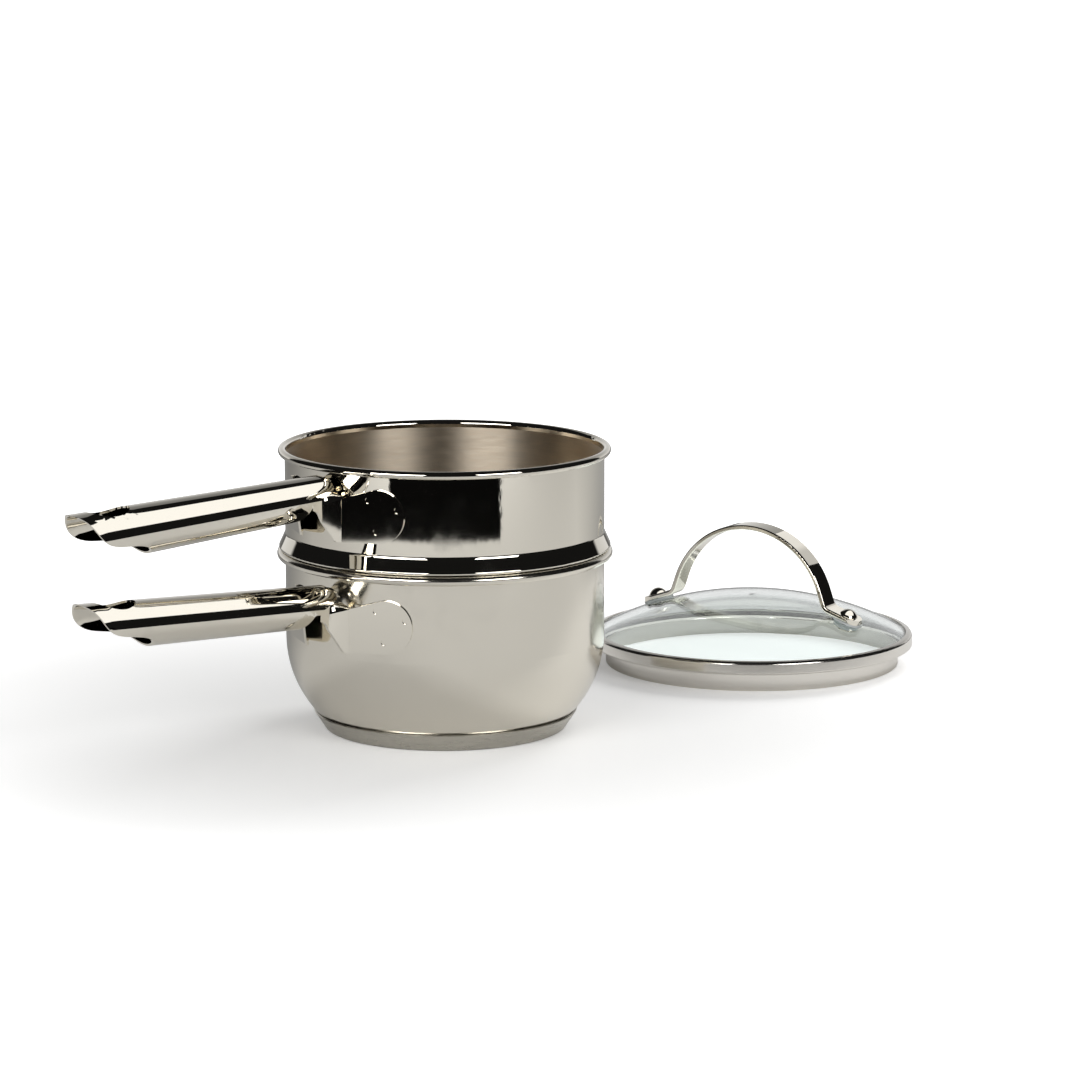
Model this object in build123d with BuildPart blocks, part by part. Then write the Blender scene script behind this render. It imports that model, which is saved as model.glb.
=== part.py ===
from build123d import *
import os
from math import acos, asin, atan2, cos, degrees, radians, sin, sqrt, tan

# A stainless double boiler: a lower pan, a lift-out insert pan and a glass lid standing beside them.
# Lengths are millimetres, angles degrees, +Z up. The origin is the centre of the lower pan's base, on
# the surface that it stands on. The lower pan's handle points along -X.

# Sheet thicknesses
PAN_SHEET = 0.8
CAP_SHEET = 0.8
BRACKET_SHEET = 1.5
TUBE_SHEET = 1.0
BAND_SHEET = 0.6
STRAP_SHEET = 2.6
GLASS_SHEET = 4.0

# Gaps between pieces, and how far a cutting solid runs past what it cuts
SEAT_GAP = 0.3
BOND_GAP = 0.1
PIN_CLEARANCE = 0.1
OVERRUN = 6.0

# Walls of both pans
WALL_INNER_RADIUS = 80.0
LOWER_CURL_HEIGHT = 89.9
LOWER_CURL_RADIUS = 2.5
INSERT_RISE = 49.5
INSERT_CURL_RADIUS = 2.05
CURL_TURN = 235.0

# Lower corner of the lower pan: a wide bend, then a tight one into the flat bottom
WIDE_BEND_RADIUS = 57.0
WIDE_BEND_TOP = 47.5
TIGHT_BEND_RADIUS = 10.0

# Encapsulated base
HEAT_DISC_THICKNESS = 4.8
CAP_HEIGHT = 8.7
CAP_TOP_GAP = 0.6
CAP_FLARE = 5.7
CAP_EDGE_RADIUS = 1.2
DISC_EDGE_GAP = 0.4
DISC_SHOULDER_ANGLE = 50.0

# Insert: the bowl that hangs in the lower pan and the bead that it stands on
BOWL_CLEARANCE = 0.8
BOWL_BOTTOM_HEIGHT = 44.0
BOWL_CORNER_RADIUS = 22.0
BOWL_NECK_RADIUS = 0.6
BEAD_REACH = 3.75
BEAD_RADIUS = 1.05
CONE_HEIGHT = 8.3
CONE_TOP_RADIUS = 3.0

# Handle tubes. Distances along a handle start at the wall's outer face.
TUBE_ROOT_RADIUS = 10.4
ROOT_CUT_LENGTH = 21.0
ROOT_NOSE_RADIUS = 2.5
SCOOP_LENGTH = 46.0
HANG_HOLE_LENGTH = 24.5
HANG_HOLE_WIDTH = 15.0
HANG_HOLE_FROM_TIP = 23.8
HANDLE_DROP_SHARE = 0.27
LOWER_HANDLE_EXTRA_DROP = 2.6
LOWER_HANDLE_TILT = 4.7
LOWER_TUBE_START = 6.0
LOWER_TUBE_END = 172.5
LOWER_TUBE_END_RADIUS = 11.6
INSERT_HANDLE_TILT = -0.7
INSERT_TUBE_START = 2.4
INSERT_TUBE_END = 164.5
INSERT_TUBE_END_RADIUS = 12.7
INSERT_HANDLE_TURN = 2.7

# Side outlines of a tube's two cut ends: shares of the cut's length and of the tube's end radius
ROOT_CUT_SHARES = ((0.17, 1.0), (0.0, 0.5), (0.8, -0.27), (1.0, -1.0))
SCOOP_SHARES = ((0.0, 1.0), (0.05, 0.91), (0.12, 0.66), (0.2, 0.22), (0.32, -0.16), (0.5, -0.34),
                (0.78, -0.46), (0.95, -0.72), (1.01, -1.0))

# Handle brackets: a collar in the tube, two webs and two wings spot-welded to the wall
CREASE_HALF_WIDTH = 15.7
CREASE_TOP = 0.4
BRACKET_DEPTH_SHARE = 0.52
SHOULDER_HEIGHT = 3.0
NECK_DISTANCE = 12.0
COLLAR_START = 18.0
COLLAR_LENGTH = 20.0
COLLAR_OPEN_SHARE = 0.3
COLLAR_TRIM_SHARE = 0.28
WEB_FOOT_LENGTH = 6.7
WEB_FOOT_RADIUS = 2.0
WEB_KNEE_DISTANCE = 14.5
WEB_KNEE_DEPTH = 6.0
WEB_KNEE_RADIUS = 4.0
WING_FACE_ANGLE = 29.0
WING_PRESS = 0.4
WING_LOBE_SHARE = 0.62
WING_LOBE_INSET = 9.6
WELD_DIMPLE_RADIUS = 1.5
WELD_DIMPLE_DEPTH = 0.5
WELD_PLACE_SHARES = ((-0.38, 0.61), (0.74, 0.28), (-0.08, -0.56))

# Lid: where it stands, its glass and its steel band
LID_DISTANCE = 225.9
LID_BEARING = -4.5
SKIRT_CLEARANCE = 0.6
SKIRT_DEPTH = 10.1
FLANGE_RADIUS = 87.3
FLANGE_TOP_INSET = 0.6
SKIRT_NECK_RADIUS = 1.0
FLANGE_EDGE_RADIUS = 1.0
LIP_EDGE_RADIUS = 1.6
LIP_INNER_RADIUS = 83.6
LIP_RISE = 0.4
GLASS_EDGE_RADIUS = 85.9
DOME_RADIUS = 180.8

# Lid handle: a steel strap on two feet, each riveted through the glass
STRAP_BEARING = -79.1
STRAP_WIDTH = 12.5
STRAP_EDGE_RADIUS = 0.8
FOOT_REACH = 57.8
FOOT_OVERHANG = 7.5
FOOT_TO_LEG = 10.1
FOOT_BEND_RADIUS = 4.0
LEG_LEAN = 19.0
LEG_LENGTH = 9.1
PAD_THICKNESS = 1.0
PAD_LENGTH = 17.0
RIVET_RADIUS = 2.4
RIVET_HEAD_RADIUS = 4.8
RIVET_HEAD_HEIGHT = 3.2
RIVET_TAIL_RADIUS = 3.8
RIVET_TAIL_HEIGHT = 1.2
RIVET_TAIL_CHAMFER = 0.5
GROMMET_SLEEVE_RADIUS = 3.5
GROMMET_FLANGE_RADIUS = 6.6
GROMMET_FLANGE_THICKNESS = 1.1
BACKING_WASHER_RADIUS = 6.0
BACKING_WASHER_THICKNESS = 0.8

# Worked-out sizes
WALL_OUTER_RADIUS = WALL_INNER_RADIUS + PAN_SHEET
PAN_BOTTOM_HEIGHT = CAP_SHEET + HEAT_DISC_THICKNESS
BOWL_RADIUS = WALL_INNER_RADIUS - BOWL_CLEARANCE
BEAD_SEAT_HEIGHT = LOWER_CURL_HEIGHT + LOWER_CURL_RADIUS + SEAT_GAP
INSERT_CURL_HEIGHT = BEAD_SEAT_HEIGHT + INSERT_RISE
HANDLE_DROP = INSERT_RISE * HANDLE_DROP_SHARE
INSERT_HANDLE_AXIS_HEIGHT = INSERT_CURL_HEIGHT - HANDLE_DROP
LOWER_HANDLE_AXIS_HEIGHT = LOWER_CURL_HEIGHT - HANDLE_DROP - LOWER_HANDLE_EXTRA_DROP
BRACKET_DEPTH = (INSERT_RISE - CONE_HEIGHT) * BRACKET_DEPTH_SHARE
WING_LOBE_RADIUS = BRACKET_DEPTH * WING_LOBE_SHARE
WIDE_BEND_CENTRE = (WALL_OUTER_RADIUS - WIDE_BEND_RADIUS, WIDE_BEND_TOP)
BEND_CENTRE_DROP = WIDE_BEND_TOP - PAN_BOTTOM_HEIGHT - TIGHT_BEND_RADIUS
BEND_CENTRE_RUN = sqrt((WIDE_BEND_RADIUS - TIGHT_BEND_RADIUS) ** 2 - BEND_CENTRE_DROP ** 2)
TIGHT_BEND_CENTRE = (WIDE_BEND_CENTRE[0] + BEND_CENTRE_RUN, PAN_BOTTOM_HEIGHT + TIGHT_BEND_RADIUS)
BEND_CHANGE_ANGLE = degrees(atan2(BEND_CENTRE_DROP, BEND_CENTRE_RUN))
BEND_RUN_AT_CAP = sqrt(TIGHT_BEND_RADIUS ** 2 - (TIGHT_BEND_CENTRE[1] - CAP_HEIGHT) ** 2)
CAP_TOP_RADIUS = TIGHT_BEND_CENTRE[0] + BEND_RUN_AT_CAP + CAP_TOP_GAP + CAP_SHEET
CAP_FOOT_RADIUS = CAP_TOP_RADIUS - CAP_FLARE
GLASS_EDGE_HEIGHT = SKIRT_DEPTH + BAND_SHEET + BOND_GAP
DOME_CENTRE_HEIGHT = GLASS_EDGE_HEIGHT - sqrt((DOME_RADIUS - GLASS_SHEET) ** 2 - GLASS_EDGE_RADIUS ** 2)
LIP_HEIGHT = DOME_CENTRE_HEIGHT + sqrt(DOME_RADIUS ** 2 - LIP_INNER_RADIUS ** 2) + BOND_GAP + BAND_SHEET
FOOT_LIFT = BOND_GAP + PAD_THICKNESS
HEAD_SEAT = FOOT_LIFT + STRAP_SHEET
GROMMET_SEAT = -GLASS_SHEET - BOND_GAP
WASHER_SEAT = GROMMET_SEAT - GROMMET_FLANGE_THICKNESS
TAIL_SEAT = WASHER_SEAT - BACKING_WASHER_THICKNESS
TAIL_END = TAIL_SEAT - RIVET_TAIL_HEIGHT
RIVET_HOLE_RADIUS = RIVET_RADIUS + PIN_CLEARANCE

os.makedirs("parts", exist_ok=True)


def put_down(piece, name):
    """Label a finished piece and write its file."""
    piece.part.label = name
    export_step(piece.part, f"parts/{name}.step")


def curl(centre_radius, centre_height, radius):
    """The rolled edge of a pan, as seen in section, turning out and down from the wall's inner face."""
    return CenterArc((centre_radius, centre_height), radius, 180, -CURL_TURN)


def tight_bend_point(angle):
    """A point of the lower pan's tight bend, at an angle below level."""
    return (
        TIGHT_BEND_CENTRE[0] + TIGHT_BEND_RADIUS * cos(radians(angle)),
        TIGHT_BEND_CENTRE[1] - TIGHT_BEND_RADIUS * sin(radians(angle)),
    )


# Lower pan: its shell, the heat disc under it and the cap that closes the base
with BuildPart() as lower_pan_shell:
    with BuildSketch(Plane.XZ):
        with BuildLine():
            Line((0, PAN_BOTTOM_HEIGHT), (TIGHT_BEND_CENTRE[0], PAN_BOTTOM_HEIGHT))
            CenterArc(TIGHT_BEND_CENTRE, TIGHT_BEND_RADIUS, -90, 90 - BEND_CHANGE_ANGLE)
            CenterArc(WIDE_BEND_CENTRE, WIDE_BEND_RADIUS, -BEND_CHANGE_ANGLE, BEND_CHANGE_ANGLE)
            Line((WALL_OUTER_RADIUS, WIDE_BEND_TOP), (WALL_OUTER_RADIUS, LOWER_CURL_HEIGHT))
            curl(WALL_INNER_RADIUS + LOWER_CURL_RADIUS, LOWER_CURL_HEIGHT, LOWER_CURL_RADIUS - PAN_SHEET)
            offset(amount=PAN_SHEET, side=Side.LEFT, closed=True)
        make_face()
    revolve(axis=Axis.Z)
put_down(lower_pan_shell, "lower_pan_shell")

with BuildPart() as base_cap:
    with BuildSketch(Plane.XZ):
        with BuildLine():
            FilletPolyline((0, 0), (CAP_FOOT_RADIUS, 0), (CAP_TOP_RADIUS, CAP_HEIGHT),
                           radius=CAP_EDGE_RADIUS)
            offset(amount=CAP_SHEET, side=Side.LEFT, closed=True)
        make_face()
    revolve(axis=Axis.Z)
put_down(base_cap, "base_cap")

DISC_SHOULDER = tight_bend_point(DISC_SHOULDER_ANGLE)
with BuildPart() as base_heat_disc:
    with BuildSketch(Plane.XZ):
        with BuildLine():
            Line((0, PAN_BOTTOM_HEIGHT), (TIGHT_BEND_CENTRE[0], PAN_BOTTOM_HEIGHT))
            CenterArc(TIGHT_BEND_CENTRE, TIGHT_BEND_RADIUS, -90, 90 - DISC_SHOULDER_ANGLE)
            Polyline(DISC_SHOULDER, (CAP_FOOT_RADIUS - CAP_SHEET - DISC_EDGE_GAP, CAP_SHEET),
                     (0, CAP_SHEET), (0, PAN_BOTTOM_HEIGHT))
        make_face()
    revolve(axis=Axis.Z)
put_down(base_heat_disc, "base_heat_disc")

# Insert pan: one sheet from the hanging bowl over the standing bead to the rolled rim
with BuildPart() as insert_shell:
    with BuildSketch(Plane.XZ):
        with BuildLine():
            FilletPolyline(
                (0, BOWL_BOTTOM_HEIGHT), (BOWL_RADIUS, BOWL_BOTTOM_HEIGHT), (BOWL_RADIUS, BEAD_SEAT_HEIGHT),
                (WALL_OUTER_RADIUS + BEAD_REACH, BEAD_SEAT_HEIGHT),
                (WALL_OUTER_RADIUS, BEAD_SEAT_HEIGHT + CONE_HEIGHT),
                (WALL_OUTER_RADIUS, INSERT_CURL_HEIGHT),
                radius=[BOWL_CORNER_RADIUS, BOWL_NECK_RADIUS, BEAD_RADIUS, CONE_TOP_RADIUS])
            curl(WALL_INNER_RADIUS + INSERT_CURL_RADIUS, INSERT_CURL_HEIGHT, INSERT_CURL_RADIUS - PAN_SHEET)
            offset(amount=PAN_SHEET, side=Side.LEFT, closed=True)
        make_face()
    revolve(axis=Axis.Z)
put_down(insert_shell, "insert_shell")


def handle_side(turn, height, tilt=0):
    """The upright plane along a handle: x runs out from the wall's outer face, y up, z to one side."""
    out = Vector(-1, 0, 0).rotate(Axis.Z, -turn)
    along = out * cos(radians(tilt)) + Vector(0, 0, 1) * sin(radians(tilt))
    foot = out * WALL_OUTER_RADIUS + Vector(0, 0, height)
    return Plane(origin=foot, x_dir=along, z_dir=out.cross(Vector(0, 0, 1)))


def across(side, distance):
    """The plane square to a handle at a distance along it: x to one side, y up."""
    return Plane(origin=side.from_local_coords(Vector(distance, 0, 0)), x_dir=-side.z_dir, z_dir=side.x_dir)


def tube_radius(distance, start, end, end_radius):
    """A tube's outer radius: it widens evenly from its root to its tip."""
    return TUBE_ROOT_RADIUS + (end_radius - TUBE_ROOT_RADIUS) * (distance - start) / (end - start)


def handle_tube(side, start, end, end_radius):
    """A hollow handle: a widening tube, cut back below at both ends, with a hanging hole on top."""
    root_outline = [(start + x * ROOT_CUT_LENGTH, y * TUBE_ROOT_RADIUS) for x, y in ROOT_CUT_SHARES]
    scoop_outline = [(end - x * SCOOP_LENGTH, y * end_radius) for x, y in SCOOP_SHARES]
    reach = end_radius + OVERRUN
    with BuildPart() as tube:
        for inset, mode in ((0, Mode.ADD), (TUBE_SHEET, Mode.SUBTRACT)):
            with BuildSketch(across(side, start)):
                Circle(TUBE_ROOT_RADIUS - inset)
            with BuildSketch(across(side, end)):
                Circle(end_radius - inset)
            loft(mode=mode)
        with BuildSketch(side):
            with BuildLine():
                FilletPolyline((root_outline[0][0], reach), *root_outline, (root_outline[-1][0], -reach),
                               radius=[ROOT_NOSE_RADIUS] * len(root_outline))
                Polyline((root_outline[-1][0], -reach), (start - OVERRUN, -reach), (start - OVERRUN, reach),
                         (root_outline[0][0], reach))
            make_face()
        extrude(amount=reach, both=True, mode=Mode.SUBTRACT)
        with BuildSketch(side):
            with BuildLine():
                Spline(*scoop_outline)
                Polyline(scoop_outline[-1], (scoop_outline[-1][0], -reach), (end + OVERRUN, -reach),
                         (end + OVERRUN, reach), (end, reach), scoop_outline[0])
            make_face()
        extrude(amount=reach, both=True, mode=Mode.SUBTRACT)
        hole_centre = side.from_local_coords(Vector(end - HANG_HOLE_FROM_TIP, 0, 0))
        with BuildSketch(Plane(origin=hole_centre, x_dir=side.x_dir, z_dir=side.y_dir)):
            Ellipse(HANG_HOLE_LENGTH / 2, HANG_HOLE_WIDTH / 2)
        extrude(amount=reach, mode=Mode.SUBTRACT)
    return tube


def bracket_section(plane, half_width, top_radius, shoulder, inset):
    """A bracket's section: an arched top, two shoulders and two legs that run past the bracket's depth."""
    arch_side = sqrt(top_radius ** 2 - SHOULDER_HEIGHT ** 2)
    arch_share = (top_radius - inset) / top_radius
    arch_end = (arch_side * arch_share, SHOULDER_HEIGHT * arch_share)
    leg_side = half_width - inset
    leg_foot = -BRACKET_DEPTH - OVERRUN
    with BuildSketch(plane) as section:
        with BuildLine():
            ThreePointArc((-arch_end[0], arch_end[1]), (0, top_radius - inset), arch_end)
            Polyline(arch_end, (leg_side, shoulder), (leg_side, leg_foot), (-leg_side, leg_foot),
                     (-leg_side, shoulder), (-arch_end[0], arch_end[1]))
        make_face()
    return section.sketch


def wing_outline(plane, side_sign, crease_x):
    """One flat wing: straight below, rounded away from the handle, its corner where the web leaves it."""
    lobe = (-WING_LOBE_INSET, WING_LOBE_RADIUS - BRACKET_DEPTH)
    run = lobe[0] - crease_x
    rise = CREASE_TOP - lobe[1]
    touch_angle = atan2(rise, run) + acos(WING_LOBE_RADIUS / sqrt(run ** 2 + rise ** 2))
    touch = (lobe[0] - WING_LOBE_RADIUS * cos(touch_angle), lobe[1] + WING_LOBE_RADIUS * sin(touch_angle))
    corners = [(crease_x, -BRACKET_DEPTH), (lobe[0], -BRACKET_DEPTH), lobe, touch, (crease_x, CREASE_TOP)]
    with BuildSketch(plane) as outline:
        with BuildLine():
            Polyline(*[(side_sign * x, y) for x, y in corners], close=True)
        make_face()
        with Locations((side_sign * lobe[0], lobe[1])):
            Circle(WING_LOBE_RADIUS)
    return outline.sketch


def handle_bracket(turn, height, tilt, start, end, end_radius):
    """A bent-sheet bracket: a collar inside the tube, webs that spread to the wall and two welded wings."""
    upright = handle_side(turn, height)
    side = handle_side(turn, height, tilt)
    collar_end = COLLAR_START + COLLAR_LENGTH
    wing_back = WALL_OUTER_RADIUS - WING_PRESS
    crease_side = CREASE_HALF_WIDTH - BRACKET_SHEET
    crease_out = (wing_back - crease_side * sin(radians(WING_FACE_ANGLE))) / cos(radians(WING_FACE_ANGLE))
    crease_x = crease_side * cos(radians(WING_FACE_ANGLE)) - crease_out * sin(radians(WING_FACE_ANGLE))
    crease = crease_out - WALL_OUTER_RADIUS

    def collar_radius(distance):
        return tube_radius(distance, start, end, end_radius) - TUBE_SHEET - BOND_GAP

    with BuildPart() as bracket:
        for inset, mode in ((0, Mode.ADD), (BRACKET_SHEET, Mode.SUBTRACT)):
            sections = [bracket_section(across(upright, crease), CREASE_HALF_WIDTH, collar_radius(crease),
                                        CREASE_TOP, inset)]
            for distance in (NECK_DISTANCE, COLLAR_START):
                radius = collar_radius(distance)
                opening = -COLLAR_OPEN_SHARE * radius
                sections.append(bracket_section(across(side, distance), sqrt(radius ** 2 - opening ** 2),
                                                radius, opening, inset))
            loft(sections, ruled=True, mode=mode)
        with BuildSketch(upright):
            with BuildLine():
                FilletPolyline((crease, -BRACKET_DEPTH), (WEB_FOOT_LENGTH, -BRACKET_DEPTH),
                               (WEB_KNEE_DISTANCE, -WEB_KNEE_DEPTH),
                               (COLLAR_START + OVERRUN, -COLLAR_TRIM_SHARE * TUBE_ROOT_RADIUS),
                               radius=[WEB_FOOT_RADIUS, WEB_KNEE_RADIUS])
                Polyline((COLLAR_START + OVERRUN, -COLLAR_TRIM_SHARE * TUBE_ROOT_RADIUS),
                         (COLLAR_START + OVERRUN, -BRACKET_DEPTH - 2 * OVERRUN),
                         (crease, -BRACKET_DEPTH - 2 * OVERRUN), (crease, -BRACKET_DEPTH))
            make_face()
        extrude(amount=CREASE_HALF_WIDTH, both=True, mode=Mode.SUBTRACT)
        for inset, mode in ((0, Mode.ADD), (BRACKET_SHEET, Mode.SUBTRACT)):
            for distance in (COLLAR_START, collar_end):
                with BuildSketch(across(side, distance)):
                    Circle(collar_radius(distance) - inset)
            loft(mode=mode)
        with BuildSketch(side):
            with Locations((COLLAR_START, -COLLAR_TRIM_SHARE * TUBE_ROOT_RADIUS)):
                Rectangle(COLLAR_LENGTH + OVERRUN, TUBE_ROOT_RADIUS + OVERRUN, align=(Align.MIN, Align.MAX))
        extrude(amount=TUBE_ROOT_RADIUS + OVERRUN, both=True, mode=Mode.SUBTRACT)
        for side_sign in (1, -1):
            facing = Vector(-1, 0, 0).rotate(Axis.Z, side_sign * WING_FACE_ANGLE - turn)
            wing = Plane(origin=facing * wing_back + Vector(0, 0, height),
                         x_dir=Vector(0, 0, 1).cross(facing), z_dir=facing)
            extrude(wing_outline(wing, side_sign, crease_x), amount=BRACKET_SHEET)
            with BuildSketch(wing.offset(BRACKET_SHEET)):
                with Locations(*[(side_sign * (x_share * WING_LOBE_RADIUS - WING_LOBE_INSET),
                                  WING_LOBE_RADIUS - BRACKET_DEPTH + y_share * WING_LOBE_RADIUS)
                                 for x_share, y_share in WELD_PLACE_SHARES]):
                    Circle(WELD_DIMPLE_RADIUS)
            extrude(amount=-WELD_DIMPLE_DEPTH, mode=Mode.SUBTRACT)
        with BuildSketch(Plane.XY.offset(height - BRACKET_DEPTH - OVERRUN)):
            Circle(WALL_OUTER_RADIUS)
        extrude(amount=2 * (BRACKET_DEPTH + OVERRUN), mode=Mode.SUBTRACT)
    return bracket


lower_side = handle_side(0, LOWER_HANDLE_AXIS_HEIGHT, LOWER_HANDLE_TILT)
lower_handle_tube = handle_tube(lower_side, LOWER_TUBE_START, LOWER_TUBE_END, LOWER_TUBE_END_RADIUS)
put_down(lower_handle_tube, "lower_handle_tube")
lower_handle_bracket = handle_bracket(0, LOWER_HANDLE_AXIS_HEIGHT, LOWER_HANDLE_TILT, LOWER_TUBE_START,
                                      LOWER_TUBE_END, LOWER_TUBE_END_RADIUS)
put_down(lower_handle_bracket, "lower_handle_bracket")

insert_side = handle_side(INSERT_HANDLE_TURN, INSERT_HANDLE_AXIS_HEIGHT, INSERT_HANDLE_TILT)
insert_handle_tube = handle_tube(insert_side, INSERT_TUBE_START, INSERT_TUBE_END, INSERT_TUBE_END_RADIUS)
put_down(insert_handle_tube, "insert_handle_tube")
insert_handle_bracket = handle_bracket(INSERT_HANDLE_TURN, INSERT_HANDLE_AXIS_HEIGHT, INSERT_HANDLE_TILT,
                                       INSERT_TUBE_START, INSERT_TUBE_END, INSERT_TUBE_END_RADIUS)
put_down(insert_handle_bracket, "insert_handle_bracket")

# Lid, standing on its skirt. Everything on it is placed from its axis and from the strap's direction.
lid_axis = Axis(Vector(LID_DISTANCE, 0, 0).rotate(Axis.Z, LID_BEARING), (0, 0, 1))
strap_along = Vector(1, 0, 0).rotate(Axis.Z, STRAP_BEARING)
lid_side = Plane(origin=lid_axis.position, x_dir=strap_along, z_dir=strap_along.cross(lid_axis.direction))
dome_centre = lid_side.from_local_coords(Vector(0, DOME_CENTRE_HEIGHT, 0))

# The band is one sheet, kept as two pieces that meet face to face: the rim with its flange, and the skirt
with BuildPart() as lid_band:
    with BuildSketch(lid_side):
        with BuildLine():
            FilletPolyline((WALL_INNER_RADIUS - SKIRT_CLEARANCE, 0),
                           (WALL_INNER_RADIUS - SKIRT_CLEARANCE, SKIRT_DEPTH), (FLANGE_RADIUS, SKIRT_DEPTH),
                           (FLANGE_RADIUS - FLANGE_TOP_INSET, LIP_HEIGHT - LIP_RISE),
                           (LIP_INNER_RADIUS, LIP_HEIGHT),
                           radius=[SKIRT_NECK_RADIUS, FLANGE_EDGE_RADIUS, LIP_EDGE_RADIUS])
            offset(amount=BAND_SHEET, side=Side.LEFT, closed=True)
        make_face()
    revolve(axis=lid_axis)
split_plane = Plane(lid_axis.position).offset(SKIRT_DEPTH - SKIRT_NECK_RADIUS)
with BuildPart() as lid_rim_band:
    add(lid_band.part)
    split(bisect_by=split_plane, keep=Keep.TOP)
put_down(lid_rim_band, "lid_rim_band")
with BuildPart() as lid_skirt:
    add(lid_band.part)
    split(bisect_by=split_plane, keep=Keep.BOTTOM)
put_down(lid_skirt, "lid_skirt")


def foot_plane(side_sign):
    """The plane on the glass under one foot: x out along the strap, z square to the glass."""
    foot = Vector(side_sign * FOOT_REACH, DOME_CENTRE_HEIGHT + sqrt(DOME_RADIUS ** 2 - FOOT_REACH ** 2), 0)
    origin = lid_side.from_local_coords(foot)
    return Plane(origin=origin, x_dir=lid_side.z_dir.cross(dome_centre - origin) * side_sign,
                 z_dir=origin - dome_centre)


foot_planes = {"front": foot_plane(1), "back": foot_plane(-1)}

with BuildPart() as lid_glass:
    with Locations(dome_centre):
        Sphere(DOME_RADIUS)
        Sphere(DOME_RADIUS - GLASS_SHEET, mode=Mode.SUBTRACT)
    with BuildSketch(Plane(lid_axis.position)):
        Circle(GLASS_EDGE_RADIUS)
    extrude(amount=DOME_RADIUS, mode=Mode.INTERSECT)
    for foot in foot_planes.values():
        with BuildSketch(foot):
            Circle(GROMMET_SLEEVE_RADIUS + PIN_CLEARANCE)
        extrude(amount=GLASS_SHEET + OVERRUN, both=True, mode=Mode.SUBTRACT)
put_down(lid_glass, "lid_glass")

# Strap: two feet tangent to the glass, legs that lean inwards and one arc over them
foot_tilt = asin(FOOT_REACH / DOME_RADIUS)
foot_top = (FOOT_REACH + HEAD_SEAT * sin(foot_tilt),
            DOME_CENTRE_HEIGHT + (DOME_RADIUS + HEAD_SEAT) * cos(foot_tilt))
foot_end = (foot_top[0] + FOOT_OVERHANG * cos(foot_tilt), foot_top[1] - FOOT_OVERHANG * sin(foot_tilt))
leg_foot_x = FOOT_REACH - FOOT_TO_LEG
foot_bend = (leg_foot_x, foot_top[1] + (foot_top[0] - leg_foot_x) * tan(foot_tilt))
leg_top = (leg_foot_x - LEG_LENGTH * sin(radians(LEG_LEAN)),
           foot_bend[1] + LEG_LENGTH * cos(radians(LEG_LEAN)))
leg_outline = [foot_end, foot_bend, leg_top]
arch_radius = leg_top[0] / cos(radians(LEG_LEAN))
arch_centre_height = leg_top[1] - leg_top[0] * tan(radians(LEG_LEAN))
with BuildPart() as lid_handle_strap:
    with BuildSketch(lid_side):
        with BuildLine():
            FilletPolyline(*leg_outline, radius=FOOT_BEND_RADIUS)
            CenterArc((0, arch_centre_height), arch_radius, LEG_LEAN, 180 - 2 * LEG_LEAN)
            FilletPolyline(*[(-x, y) for x, y in reversed(leg_outline)], radius=FOOT_BEND_RADIUS)
            offset(amount=STRAP_SHEET, side=Side.LEFT, closed=True)
        make_face()
    extrude(amount=STRAP_WIDTH / 2, both=True)
    side_faces = lid_handle_strap.faces().filter_by(Plane(lid_side.origin, z_dir=lid_side.z_dir))
    fillet(side_faces.edges(), radius=STRAP_EDGE_RADIUS)
    with BuildSketch(Plane(origin=lid_axis.position, x_dir=strap_along)):
        SlotOverall(2 * foot_end[0], STRAP_WIDTH)
    extrude(amount=arch_centre_height + arch_radius + OVERRUN, mode=Mode.INTERSECT)
    for foot in foot_planes.values():
        with BuildSketch(foot):
            Circle(RIVET_HOLE_RADIUS)
        extrude(amount=HEAD_SEAT + OVERRUN, mode=Mode.SUBTRACT)
put_down(lid_handle_strap, "lid_handle_strap")

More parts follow.
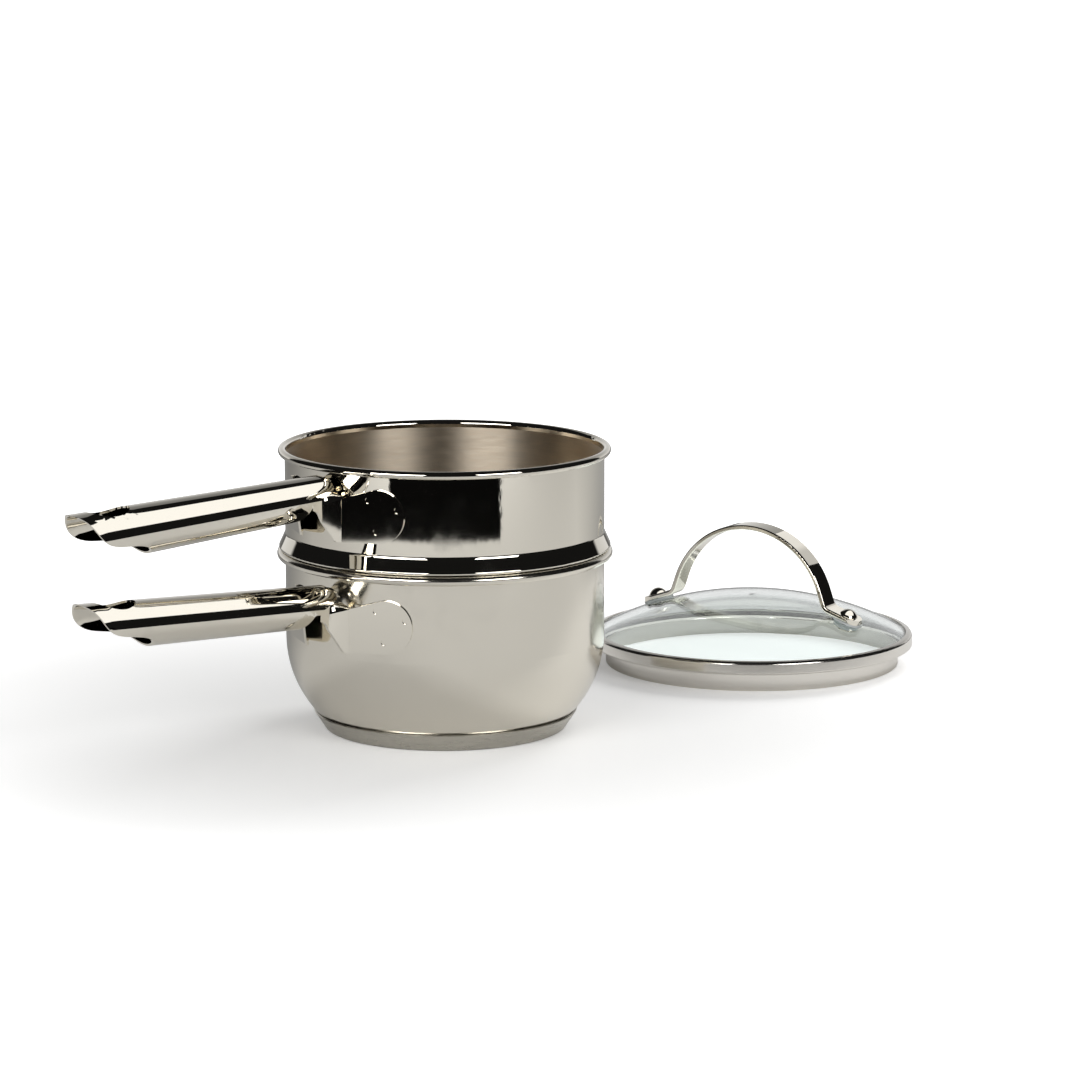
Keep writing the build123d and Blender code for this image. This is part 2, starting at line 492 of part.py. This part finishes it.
# Under each foot a soft pad; through the glass a grommet, a washer below it and a rivet through all
for end_name, foot in foot_planes.items():
    with BuildPart() as lid_foot_pad:
        with BuildSketch(foot.offset(FOOT_LIFT)):
            SlotOverall(PAD_LENGTH, STRAP_WIDTH)
            Circle(RIVET_HOLE_RADIUS, mode=Mode.SUBTRACT)
        extrude(amount=-2 * PAD_THICKNESS)
        with Locations(dome_centre):
            Sphere(DOME_RADIUS + BOND_GAP, mode=Mode.SUBTRACT)
    put_down(lid_foot_pad, f"lid_foot_pad_{end_name}")

    with BuildPart() as lid_grommet:
        with BuildSketch(foot.offset(WASHER_SEAT)):
            Circle(GROMMET_FLANGE_RADIUS)
        extrude(amount=2 * GROMMET_FLANGE_THICKNESS)
        with Locations(dome_centre):
            Sphere(DOME_RADIUS - GLASS_SHEET - BOND_GAP, mode=Mode.INTERSECT)
        with BuildSketch(foot.offset(WASHER_SEAT)):
            Circle(GROMMET_SLEEVE_RADIUS)
        extrude(amount=-WASHER_SEAT - BOND_GAP)
        with BuildSketch(foot.offset(WASHER_SEAT)):
            Circle(RIVET_HOLE_RADIUS)
        extrude(amount=-WASHER_SEAT, mode=Mode.SUBTRACT)
    put_down(lid_grommet, f"lid_grommet_{end_name}")

    with BuildPart() as lid_backing_washer:
        with BuildSketch(foot.offset(TAIL_SEAT)):
            Circle(BACKING_WASHER_RADIUS)
            Circle(RIVET_HOLE_RADIUS, mode=Mode.SUBTRACT)
        extrude(amount=BACKING_WASHER_THICKNESS)
    put_down(lid_backing_washer, f"lid_backing_washer_{end_name}")

    with BuildPart() as lid_rivet:
        with BuildSketch(Plane(origin=foot.origin, x_dir=foot.y_dir, z_dir=foot.x_dir)):
            with BuildLine():
                head_top = (0, HEAD_SEAT + RIVET_HEAD_HEIGHT)
                TangentArc(head_top, (RIVET_HEAD_RADIUS, HEAD_SEAT), tangent=(1, 0))
                Polyline((RIVET_HEAD_RADIUS, HEAD_SEAT), (RIVET_RADIUS, HEAD_SEAT),
                         (RIVET_RADIUS, TAIL_SEAT), (RIVET_TAIL_RADIUS, TAIL_SEAT),
                         (RIVET_TAIL_RADIUS, TAIL_END + RIVET_TAIL_CHAMFER),
                         (RIVET_TAIL_RADIUS - RIVET_TAIL_CHAMFER, TAIL_END), (0, TAIL_END), head_top)
            make_face()
        revolve(axis=Axis(foot.origin, foot.z_dir))
    put_down(lid_rivet, f"lid_rivet_{end_name}")
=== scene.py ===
import bpy
from math import cos, pi, radians, sin
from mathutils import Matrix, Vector


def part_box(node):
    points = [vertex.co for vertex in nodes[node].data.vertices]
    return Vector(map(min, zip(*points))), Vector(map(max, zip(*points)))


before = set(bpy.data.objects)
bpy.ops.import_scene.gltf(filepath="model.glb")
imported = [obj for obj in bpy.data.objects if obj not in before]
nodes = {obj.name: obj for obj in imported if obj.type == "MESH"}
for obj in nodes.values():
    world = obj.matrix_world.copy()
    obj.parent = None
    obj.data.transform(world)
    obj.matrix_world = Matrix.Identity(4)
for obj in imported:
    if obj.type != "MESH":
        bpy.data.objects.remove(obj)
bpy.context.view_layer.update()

# Directions over the floor: towards the camera, and to the camera's right
CAMERA_BEARING = radians(-136.94)
TO_CAMERA = Vector((cos(CAMERA_BEARING), sin(CAMERA_BEARING), 0))
TO_RIGHT = Vector((-TO_CAMERA.y, TO_CAMERA.x, 0))

# Places on the object, in metres: its axes, and where a pan's brushed inside meets its polished rim
PANS_CENTRE = Vector((0, 0, 0))
skirt_low, skirt_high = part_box("lid_skirt")
LID_CENTRE = Vector(((skirt_low.x + skirt_high.x) / 2, (skirt_low.y + skirt_high.y) / 2, 0))
BOWL_REACH = 0.0785
INSERT_RIM_DEPTH = 0.00375
PAN_RIM_DEPTH = 0.0034
INSERT_RIM_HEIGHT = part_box("insert_shell")[1].z - INSERT_RIM_DEPTH
PAN_RIM_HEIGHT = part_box("lower_pan_shell")[1].z - PAN_RIM_DEPTH


# Node helpers
MEASURES = ("DOT_PRODUCT", "DISTANCE", "LENGTH")


def new_material(name):
    """An empty node material, its node tree and its surface shader."""
    material = bpy.data.materials.new(name)
    material.use_nodes = True
    tree = material.node_tree
    return material, tree, tree.nodes["Principled BSDF"]


def add(tree, kind, **settings):
    """A node with its settings."""
    node = tree.nodes.new(kind)
    for key, value in settings.items():
        setattr(node, key, value)
    return node


def maths(tree, operation, a, b=None, clamp=False):
    """A Math node's result, from sockets or numbers."""
    node = add(tree, "ShaderNodeMath", operation=operation, use_clamp=clamp)
    for socket, value in zip(node.inputs, (a, b)):
        if value is None:
            continue
        if isinstance(value, (int, float)):
            socket.default_value = value
        else:
            tree.links.new(value, socket)
    return node.outputs[0]


def vector_maths(tree, operation, a, b=None):
    """A Vector Math node's result. The second value is a fixed vector, a socket or nothing."""
    node = add(tree, "ShaderNodeVectorMath", operation=operation)
    tree.links.new(a, node.inputs[0])
    if isinstance(b, Vector):
        node.inputs[1].default_value = b
    elif b is not None:
        tree.links.new(b, node.inputs[1])
    return node.outputs["Value" if operation in MEASURES else "Vector"]


def ramp(tree, value, low, high, low_out=0.0, high_out=1.0):
    """A smooth step of a value between two limits."""
    node = add(tree, "ShaderNodeMapRange", interpolation_type="SMOOTHSTEP")
    tree.links.new(value, node.inputs["Value"])
    node.inputs["From Min"].default_value = low
    node.inputs["From Max"].default_value = high
    node.inputs["To Min"].default_value = low_out
    node.inputs["To Max"].default_value = high_out
    return node.outputs["Result"]


def beyond(tree, value, edge, softness):
    """1 where a value lies past an edge, 0 before it, and a soft change between."""
    return ramp(tree, value, edge - softness, edge + softness)


def within(tree, value, edge, softness):
    """1 where a value lies before an edge, 0 past it, and a soft change between."""
    return ramp(tree, value, edge - softness, edge + softness, low_out=1.0, high_out=0.0)


def parts(tree, vector):
    """A vector's x, y and z."""
    node = add(tree, "ShaderNodeSeparateXYZ")
    tree.links.new(vector, node.inputs[0])
    return node.outputs


def joined(tree, *numbers):
    """A vector from its first numbers, with 0 for the rest."""
    node = add(tree, "ShaderNodeCombineXYZ")
    for socket, number in zip(node.inputs, numbers):
        tree.links.new(number, socket)
    return node.outputs[0]


def length_of(tree, x, y):
    """The length of a flat vector from its two parts."""
    squares = maths(tree, "ADD", maths(tree, "MULTIPLY", x, x), maths(tree, "MULTIPLY", y, y))
    return maths(tree, "SQRT", squares)


def mix_color(tree, factor, a, b):
    """A mix of two colours."""
    node = add(tree, "ShaderNodeMix", data_type="RGBA")
    tree.links.new(factor, node.inputs["Factor"])
    for socket, value in ((node.inputs["A"], a), (node.inputs["B"], b)):
        if isinstance(value, tuple):
            socket.default_value = (*value, 1)
        else:
            tree.links.new(value, socket)
    return node.outputs["Result"]


def noise(tree, vector, scale, detail=2.0, roughness=0.5):
    """A noise texture's value."""
    node = add(tree, "ShaderNodeTexNoise")
    tree.links.new(vector, node.inputs["Vector"])
    node.inputs["Scale"].default_value = scale
    node.inputs["Detail"].default_value = detail
    node.inputs["Roughness"].default_value = roughness
    return node.outputs["Fac"]


def position(tree):
    """The point on the object, in metres."""
    return add(tree, "ShaderNodeTexCoord").outputs["Object"]


def turned(tree, centre, along, around):
    """Coordinates for marks left by turning about an upright axis: stretched round it, fine across."""
    x, y, z = parts(tree, vector_maths(tree, "SUBTRACT", position(tree), centre))
    angle = maths(tree, "ARCTAN2", y, x)
    return joined(tree, maths(tree, "MULTIPLY", angle, around),
                  maths(tree, "MULTIPLY", length_of(tree, x, y), along),
                  maths(tree, "MULTIPLY", z, along))


def bump(tree, shader, height, strength, distance):
    """Relief from a height."""
    node = add(tree, "ShaderNodeBump")
    node.inputs["Strength"].default_value = strength
    node.inputs["Distance"].default_value = distance
    tree.links.new(height, node.inputs["Height"])
    tree.links.new(node.outputs["Normal"], shader.inputs["Normal"])


# Steel: its colours, its roughness, and the marks that polishing and brushing leave
STEEL = (0.83, 0.79, 0.70)
# The cap's steel is darker than the rest partly for its satin grey and partly as painted shade: it stands
# in for the shadowed floor close round the base that the cap reflects
CAP_STEEL_WITH_PAINTED_SHADE = (0.60, 0.575, 0.515)
WARM_STEEL = (0.82, 0.71, 0.565)
BAND_STEEL = (0.82, 0.79, 0.735)
MIRROR_ROUGHNESS = 0.03
INSERT_ROUGHNESS = 0.025
PAN_ROUGHNESS = 0.13
INSIDE_ROUGHNESS = 0.5
CAP_ROUGHNESS = 0.3
BAND_ROUGHNESS = 0.16
INSIDE_CONTRAST = 0.84
CAP_CONTRAST = 0.86
BAND_CONTRAST = 0.95
INSIDE_ANISOTROPY = 0.9
CAP_ANISOTROPY = 0.5
BAND_ANISOTROPY = 0.2
RUB_SCALE = 45
MIRROR_RUBS = 0.05
PAN_RUBS = 0.04
WHEEL_SCALE = 38
WHEEL_STRENGTH = 0.35
WHEEL_RELIEF = 0.00012
BRUSH_STRENGTH = 0.12
BRUSH_RELIEF = 0.00005
QUARTER_TURN = 0.25
FACES_IN = -0.25
FACES_UP = 0.3


def darkened(color, share):
    """A colour at a share of its brightness."""
    return tuple(part * share for part in color)


def rubbed(tree, roughness, gain):
    """A polished surface's roughness, a little higher in a few soft rubs."""
    rubs = noise(tree, position(tree), RUB_SCALE, detail=4, roughness=0.65)
    return ramp(tree, rubs, 0.45, 0.75, low_out=roughness, high_out=roughness + gain)


def brush_marks(tree, centre):
    """The fine lines of a brush that ran round an upright axis, and their shade with wider bands."""
    lines = noise(tree, turned(tree, centre, along=900, around=6), 1.0, detail=5, roughness=0.7)
    bands = noise(tree, turned(tree, centre, along=120, around=2), 1.0, detail=3, roughness=0.6)
    mean = maths(tree, "MULTIPLY", maths(tree, "ADD", lines, bands), 0.5)
    return lines, ramp(tree, mean, 0.35, 0.65)


def lined(tree, lines, roughness):
    """A brushed surface's roughness, which follows its lines."""
    return ramp(tree, lines, 0.3, 0.7, low_out=roughness * 0.85, high_out=roughness * 1.2)


def stretch_across(tree, shader):
    """Stretches the highlights across lines that run round the upright axis."""
    shader.inputs["Anisotropic Rotation"].default_value = QUARTER_TURN
    tangent = add(tree, "ShaderNodeTangent", direction_type="RADIAL", axis="Z")
    tree.links.new(tangent.outputs[0], shader.inputs["Tangent"])


def polished(name, color, roughness):
    """Mirror-polished steel with a faint unevenness left by the wheel and a few soft rubs."""
    material, tree, shader = new_material(name)
    shader.inputs["Base Color"].default_value = (*color, 1)
    shader.inputs["Metallic"].default_value = 1
    tree.links.new(rubbed(tree, roughness, MIRROR_RUBS), shader.inputs["Roughness"])
    wheel_marks = noise(tree, position(tree), WHEEL_SCALE, detail=1)
    bump(tree, shader, wheel_marks, WHEEL_STRENGTH, WHEEL_RELIEF)
    return material


def brushed(name, color, roughness, centre, anisotropy, contrast):
    """Steel brushed round and round about an upright axis."""
    material, tree, shader = new_material(name)
    shader.inputs["Metallic"].default_value = 1
    shader.inputs["Anisotropic"].default_value = anisotropy
    stretch_across(tree, shader)
    lines, shade = brush_marks(tree, centre)
    tree.links.new(mix_color(tree, shade, darkened(color, contrast), color), shader.inputs["Base Color"])
    tree.links.new(lined(tree, lines, roughness), shader.inputs["Roughness"])
    bump(tree, shader, lines, BRUSH_STRENGTH, BRUSH_RELIEF)
    return material


def inner_side(tree, rim_height):
    """1 on a pan's inner wall and bottom below its rim, and 0 elsewhere."""
    x, y, z = parts(tree, position(tree))
    flat = joined(tree, x, y)
    normal = add(tree, "ShaderNodeNewGeometry").outputs["Normal"]
    facing_out = vector_maths(tree, "DOT_PRODUCT", vector_maths(tree, "NORMALIZE", flat), normal)
    wall = maths(tree, "LESS_THAN", facing_out, FACES_IN)
    in_bowl = maths(tree, "LESS_THAN", vector_maths(tree, "LENGTH", flat), BOWL_REACH)
    faces_up = maths(tree, "GREATER_THAN", parts(tree, normal)[2], FACES_UP)
    bottom = maths(tree, "MULTIPLY", faces_up, in_bowl)
    below_rim = maths(tree, "LESS_THAN", z, rim_height)
    return maths(tree, "MULTIPLY", maths(tree, "MAXIMUM", wall, bottom), below_rim, clamp=True)


def pan_sheet(name, outside_roughness, rim_height):
    """A pan's sheet: polished outside and over the rim, brushed inside."""
    material, tree, shader = new_material(name)
    shader.inputs["Metallic"].default_value = 1
    inner = inner_side(tree, rim_height)
    lines, shade = brush_marks(tree, PANS_CENTRE)
    inner_color = mix_color(tree, shade, darkened(WARM_STEEL, INSIDE_CONTRAST), WARM_STEEL)
    tree.links.new(mix_color(tree, inner, STEEL, inner_color), shader.inputs["Base Color"])
    roughness = add(tree, "ShaderNodeMix", data_type="FLOAT")
    tree.links.new(inner, roughness.inputs["Factor"])
    tree.links.new(rubbed(tree, outside_roughness, PAN_RUBS), roughness.inputs["A"])
    tree.links.new(lined(tree, lines, INSIDE_ROUGHNESS), roughness.inputs["B"])
    tree.links.new(roughness.outputs["Result"], shader.inputs["Roughness"])
    tree.links.new(maths(tree, "MULTIPLY", inner, INSIDE_ANISOTROPY), shader.inputs["Anisotropic"])
    stretch_across(tree, shader)
    bump(tree, shader, maths(tree, "MULTIPLY", inner, lines), BRUSH_STRENGTH, BRUSH_RELIEF)
    return material


mirror = polished("polished_steel", STEEL, MIRROR_ROUGHNESS)
# The cap's brushed steel carries painted shade in its darker colour
cap_steel_with_painted_shade = brushed("brushed_cap_with_painted_shade", CAP_STEEL_WITH_PAINTED_SHADE, CAP_ROUGHNESS, PANS_CENTRE, CAP_ANISOTROPY, CAP_CONTRAST)
band_steel = brushed("brushed_band", BAND_STEEL, BAND_ROUGHNESS, LID_CENTRE, BAND_ANISOTROPY, BAND_CONTRAST)
insert_steel = pan_sheet("insert_steel", INSERT_ROUGHNESS, INSERT_RIM_HEIGHT)
pan_steel = pan_sheet("pan_steel", PAN_ROUGHNESS, PAN_RIM_HEIGHT)

# Glass: clear, a little green-grey through its thickness, and open to the light that falls through it
GLASS_TINT = (0.93, 0.965, 0.955)
GLASS_SHADE = (0.93, 0.96, 0.955)
GLASS_IOR = 1.5
SMEAR_SCALE = 60
SMEAR_ROUGHNESS = 0.02

glass, glass_tree, glass_shader = new_material("lid_glass")
glass_shader.inputs["Base Color"].default_value = (*GLASS_TINT, 1)
glass_shader.inputs["Transmission Weight"].default_value = 1
glass_shader.inputs["IOR"].default_value = GLASS_IOR
smears = noise(glass_tree, position(glass_tree), SMEAR_SCALE, detail=3)
glass_tree.links.new(ramp(glass_tree, smears, 0.5, 0.8, low_out=0.0, high_out=SMEAR_ROUGHNESS),
                     glass_shader.inputs["Roughness"])
clear = add(glass_tree, "ShaderNodeBsdfTransparent")
clear.inputs["Color"].default_value = (*GLASS_SHADE, 1)
glass_path = add(glass_tree, "ShaderNodeLightPath").outputs
soft_ray = maths(glass_tree, "MAXIMUM", glass_path["Is Shadow Ray"], glass_path["Is Diffuse Ray"])
glass_surface = add(glass_tree, "ShaderNodeMixShader")
glass_tree.links.new(soft_ray, glass_surface.inputs["Fac"])
glass_tree.links.new(glass_shader.outputs[0], glass_surface.inputs[1])
glass_tree.links.new(clear.outputs[0], glass_surface.inputs[2])
glass_tree.links.new(glass_surface.outputs[0], glass_tree.nodes["Material Output"].inputs["Surface"])

# Silicone of the pads and grommets
SILICONE_DARK = (0.5, 0.52, 0.52)
SILICONE_LIGHT = (0.62, 0.64, 0.64)
SILICONE_ROUGHNESS = 0.4
SILICONE_GRAIN = 500

silicone, silicone_tree, silicone_shader = new_material("clear_silicone")
silicone_grain = noise(silicone_tree, position(silicone_tree), SILICONE_GRAIN, detail=3)
silicone_tree.links.new(mix_color(silicone_tree, silicone_grain, SILICONE_DARK, SILICONE_LIGHT),
                        silicone_shader.inputs["Base Color"])
silicone_shader.inputs["Roughness"].default_value = SILICONE_ROUGHNESS

# Aluminium of the disc inside the base
ALUMINIUM_DARK = (0.62, 0.62, 0.63)
ALUMINIUM_LIGHT = (0.76, 0.76, 0.77)
ALUMINIUM_ROUGHNESS = 0.4

disc, disc_tree, disc_shader = new_material("aluminium")
disc_grain = noise(disc_tree, turned(disc_tree, PANS_CENTRE, along=700, around=5), 1.0, detail=4)
disc_tree.links.new(mix_color(disc_tree, disc_grain, ALUMINIUM_DARK, ALUMINIUM_LIGHT),
                    disc_shader.inputs["Base Color"])
disc_shader.inputs["Metallic"].default_value = 1
disc_shader.inputs["Roughness"].default_value = ALUMINIUM_ROUGHNESS

# Every piece that has no look of its own is mirror-polished steel
LOOKS = {
    "lower_pan_shell": pan_steel,
    "base_cap": cap_steel_with_painted_shade,
    "base_heat_disc": disc,
    "insert_shell": insert_steel,
    "lid_glass": glass,
    "lid_rim_band": band_steel,
    "lid_skirt": band_steel,
    "lid_foot_pad_front": silicone,
    "lid_foot_pad_back": silicone,
    "lid_grommet_front": silicone,
    "lid_grommet_back": silicone,
}
for node_name, node in nodes.items():
    node.data.materials.clear()
    node.data.materials.append(LOOKS.get(node_name, mirror))

# Floor, just below the base
FLOOR_REACH = 6.0
FLOOR_DROP = 0.0002
FLOOR_CORNERS = ((-1, -1), (1, -1), (1, 1), (-1, 1))
FLOOR_WHITE = (0.93, 0.93, 0.925)
FLOOR_DARK = (0.003, 0.003, 0.003)
FLOOR_ROUGHNESS = 0.9

# To reflections it is dark in front, past the ragged edge of a white sheet, and far out to the sides
SHEET_EDGE = 0.667
SHEET_EDGE_SOFTNESS = 0.01
SHEET_HALF_ANGLE = radians(38.5)
SHEET_SIDE_SOFTNESS = 0.02
SIDE_EDGE = 0.95
SIDE_EDGE_SOFTNESS = 0.05
SIDE_END = radians(125)
SIDE_END_SOFTNESS = 0.1
RAGGED_SCALE = 26
RAGGED_TURN = 0.25
RAGGED_REACH = 0.02

# To reflections it is also grey away from the lid, most of all behind the pans
GREY = 0.2
GREY_BEHIND = 0.6
GREY_TURNS = (radians(75), radians(150))
LID_CLEAR_REACHES = (0.18, 0.3)

floor_mesh = bpy.data.meshes.new("floor")
floor_mesh.from_pydata([(x * FLOOR_REACH, y * FLOOR_REACH, -FLOOR_DROP) for x, y in FLOOR_CORNERS],
                       [], [(0, 1, 2, 3)])
floor = bpy.data.objects.new("floor", floor_mesh)
bpy.context.scene.collection.objects.link(floor)
floor_material, floor_tree, floor_shader = new_material("floor")
floor_mesh.materials.append(floor_material)
floor_shader.inputs["Roughness"].default_value = FLOOR_ROUGHNESS
floor_shader.inputs["Specular IOR Level"].default_value = 0

floor_point = position(floor_tree)
ahead = vector_maths(floor_tree, "DOT_PRODUCT", floor_point, TO_CAMERA)
rightward = vector_maths(floor_tree, "DOT_PRODUCT", floor_point, TO_RIGHT)
from_centre = length_of(floor_tree, ahead, rightward)
from_lid = vector_maths(floor_tree, "DISTANCE", floor_point, LID_CENTRE)
off_middle = maths(floor_tree, "ABSOLUTE", maths(floor_tree, "ARCTAN2", rightward, ahead))

ragged = noise(floor_tree, floor_point, RAGGED_SCALE, detail=5, roughness=0.7)
ragged = maths(floor_tree, "SUBTRACT", ragged, 0.5)
ragged_turn = maths(floor_tree, "ADD", off_middle, maths(floor_tree, "MULTIPLY", ragged, RAGGED_TURN))
ragged_reach = maths(floor_tree, "ADD", from_centre, maths(floor_tree, "MULTIPLY", ragged, RAGGED_REACH))
in_front = maths(floor_tree, "MULTIPLY",
                 within(floor_tree, ragged_turn, SHEET_HALF_ANGLE, SHEET_SIDE_SOFTNESS),
                 beyond(floor_tree, ragged_reach, SHEET_EDGE, SHEET_EDGE_SOFTNESS))
far_aside = maths(floor_tree, "MULTIPLY", beyond(floor_tree, from_centre, SIDE_EDGE, SIDE_EDGE_SOFTNESS),
                  within(floor_tree, off_middle, SIDE_END, SIDE_END_SOFTNESS))
turned_away = ramp(floor_tree, off_middle, *GREY_TURNS, low_out=0.0, high_out=GREY_BEHIND)
grey = maths(floor_tree, "MULTIPLY", ramp(floor_tree, from_lid, *LID_CLEAR_REACHES),
             maths(floor_tree, "MAXIMUM", turned_away, GREY))
dark = maths(floor_tree, "MAXIMUM", maths(floor_tree, "MAXIMUM", in_front, far_aside), grey)
floor_path = add(floor_tree, "ShaderNodeLightPath").outputs
dark_reflected = maths(floor_tree, "MULTIPLY", dark, floor_path["Is Glossy Ray"])
floor_tree.links.new(mix_color(floor_tree, dark_reflected, FLOOR_WHITE, FLOOR_DARK),
                     floor_shader.inputs["Base Color"])

# Seen directly, the floor glows more with distance, and seen through glass it glows evenly
GLOW_REACHES = (0.1, 0.55)
GLOW_NEAR = 0.16
GLOW_FAR = 0.85
GLOW_THROUGH_GLASS = 0.46

glow = ramp(floor_tree, from_centre, *GLOW_REACHES, low_out=GLOW_NEAR, high_out=GLOW_FAR)
seen_directly = maths(floor_tree, "MULTIPLY", floor_path["Is Camera Ray"], glow)
seen_through = maths(floor_tree, "MULTIPLY", floor_path["Is Transmission Ray"], GLOW_THROUGH_GLASS)
floor_shader.inputs["Emission Color"].default_value = (1, 1, 1, 1)
floor_tree.links.new(maths(floor_tree, "MAXIMUM", seen_directly, seen_through),
                     floor_shader.inputs["Emission Strength"])

# World: white to the camera and through glass, and an even fill to matt surfaces
WORLD_WHITE = 1.05
WORLD_FILL = 0.34

# To reflections it is a backdrop behind the object, brightest low down, in a nearly dark room
DARK_ROOM = 0.008
BACKDROP = 0.8
BACKDROP_SIDE = 0.69
BACKDROP_SIDE_SOFTNESS = 0.03
BACKDROP_FOOT = -0.1
BACKDROP_TOP = 0.68
BACKDROP_TOP_SOFTNESS = 0.03
BACKDROP_TOP_SHARE = 0.25

world = bpy.data.worlds.new("studio")
bpy.context.scene.world = world
world.use_nodes = True
sky = world.node_tree
direction = add(sky, "ShaderNodeTexCoord").outputs["Generated"]
upward = parts(sky, direction)[2]
behind = beyond(sky, vector_maths(sky, "DOT_PRODUCT", direction, -TO_CAMERA),
                BACKDROP_SIDE, BACKDROP_SIDE_SOFTNESS)
fading_up = ramp(sky, upward, BACKDROP_FOOT, BACKDROP_TOP, low_out=1.0, high_out=BACKDROP_TOP_SHARE)
below_top = ramp(sky, upward, BACKDROP_TOP - BACKDROP_TOP_SOFTNESS, BACKDROP_TOP, low_out=1.0, high_out=0.0)
backdrop = maths(sky, "MULTIPLY", behind, maths(sky, "MULTIPLY", fading_up, below_top))
reflected = maths(sky, "ADD", maths(sky, "MULTIPLY", backdrop, BACKDROP - DARK_ROOM), DARK_ROOM)
sky_path = add(sky, "ShaderNodeLightPath").outputs
glossy = sky_path["Is Glossy Ray"]
fill = maths(sky, "MULTIPLY", maths(sky, "SUBTRACT", 1.0, glossy), WORLD_FILL)
lighting = maths(sky, "ADD", maths(sky, "MULTIPLY", glossy, reflected), fill)
seen = maths(sky, "MAXIMUM", sky_path["Is Camera Ray"], sky_path["Is Transmission Ray"])
background = sky.nodes["Background"]
background.inputs["Color"].default_value = (1, 1, 1, 1)
sky.links.new(maths(sky, "MAXIMUM", lighting, maths(sky, "MULTIPLY", seen, WORLD_WHITE)),
              background.inputs["Strength"])

# Lights, with their places and sizes in metres and their bearings and elevations in degrees
LIGHT_AIM = Vector((0, 0, 0.1))
OVER_HANDLES = Vector((0.27, -0.284, 0.365))
FRONT_DISTANCE = 1.6
BACK_DISTANCE = 1.3


def area_light(name, width, height, brightness):
    """A rectangular light that faces down, of a given size and brightness."""
    light = bpy.data.lights.new(name, "AREA")
    light.shape = "RECTANGLE"
    light.size = width
    light.size_y = height
    light.energy = brightness * pi * width * height
    holder = bpy.data.objects.new(name, light)
    bpy.context.scene.collection.objects.link(holder)
    return holder


def softbox(name, bearing, elevation, distance, width, height, brightness):
    """A light aimed at the pans. Its bearing is from the camera, to the camera's right."""
    holder = area_light(name, width, height, brightness)
    turn = radians(bearing)
    rise = radians(elevation)
    over_floor = TO_CAMERA * cos(turn) + TO_RIGHT * sin(turn)
    holder.location = LIGHT_AIM + (over_floor * cos(rise) + Vector((0, 0, sin(rise)))) * distance
    holder.rotation_euler = (holder.location - LIGHT_AIM).to_track_quat("Z", "Y").to_euler()
    return holder


def only_seen_in(light, name, endings):
    """Shows a light in the shine of the pieces with these name endings, and nowhere else."""
    pieces = bpy.data.collections.new(name)
    for node_name, node in nodes.items():
        if node_name.endswith(endings):
            pieces.objects.link(node)
    light.light_linking.receiver_collection = pieces
    light.visible_diffuse = False
    light.visible_transmission = False
    light.visible_camera = False


# Softboxes: one behind that lights matt surfaces alone, and two in front
back_right = softbox("back_right_softbox", bearing=142, elevation=33, distance=BACK_DISTANCE,
                     width=0.62, height=0.6, brightness=5.5)
back_right.visible_glossy = False
back_right.visible_transmission = False
softbox("front_right_softbox", bearing=38, elevation=20, distance=FRONT_DISTANCE,
        width=0.84, height=0.56, brightness=5)
softbox("front_left_softbox", bearing=-33, elevation=20, distance=FRONT_DISTANCE,
        width=1.04, height=0.56, brightness=6)

# White cards that show in the handles and what holds them alone: one overhead, and one behind to the right
handle_card = area_light("handle_card", width=0.62, height=0.55, brightness=1.18)
handle_card.location = OVER_HANDLES
only_seen_in(handle_card, "under_card", ("_tube", "_bracket", "rivet_front", "rivet_back"))
strap_card = softbox("strap_card", bearing=142, elevation=20, distance=BACK_DISTANCE,
                     width=0.62, height=0.5, brightness=0.62)
only_seen_in(strap_card, "before_card", ("_strap", "_tube", "_bracket"))

# Camera, at the photograph's viewing angle
CAMERA_DISTANCE = 2.243
CAMERA_HEIGHT = 0.511
CAMERA_PITCH = radians(-10.5)
CAMERA_HEADING = radians(41.83)
SENSOR_WIDTH_MM = 36
LENS_MM = 150

camera_data = bpy.data.cameras.new("camera")
camera_data.sensor_width = SENSOR_WIDTH_MM
camera_data.lens = LENS_MM
camera = bpy.data.objects.new("camera", camera_data)
bpy.context.scene.collection.objects.link(camera)
camera.location = TO_CAMERA * CAMERA_DISTANCE + Vector((0, 0, CAMERA_HEIGHT))
camera.rotation_euler = (pi / 2 + CAMERA_PITCH, 0, CAMERA_HEADING - pi / 2)
bpy.context.scene.camera = camera
bpy.context.scene.view_settings.view_transform = "Standard"
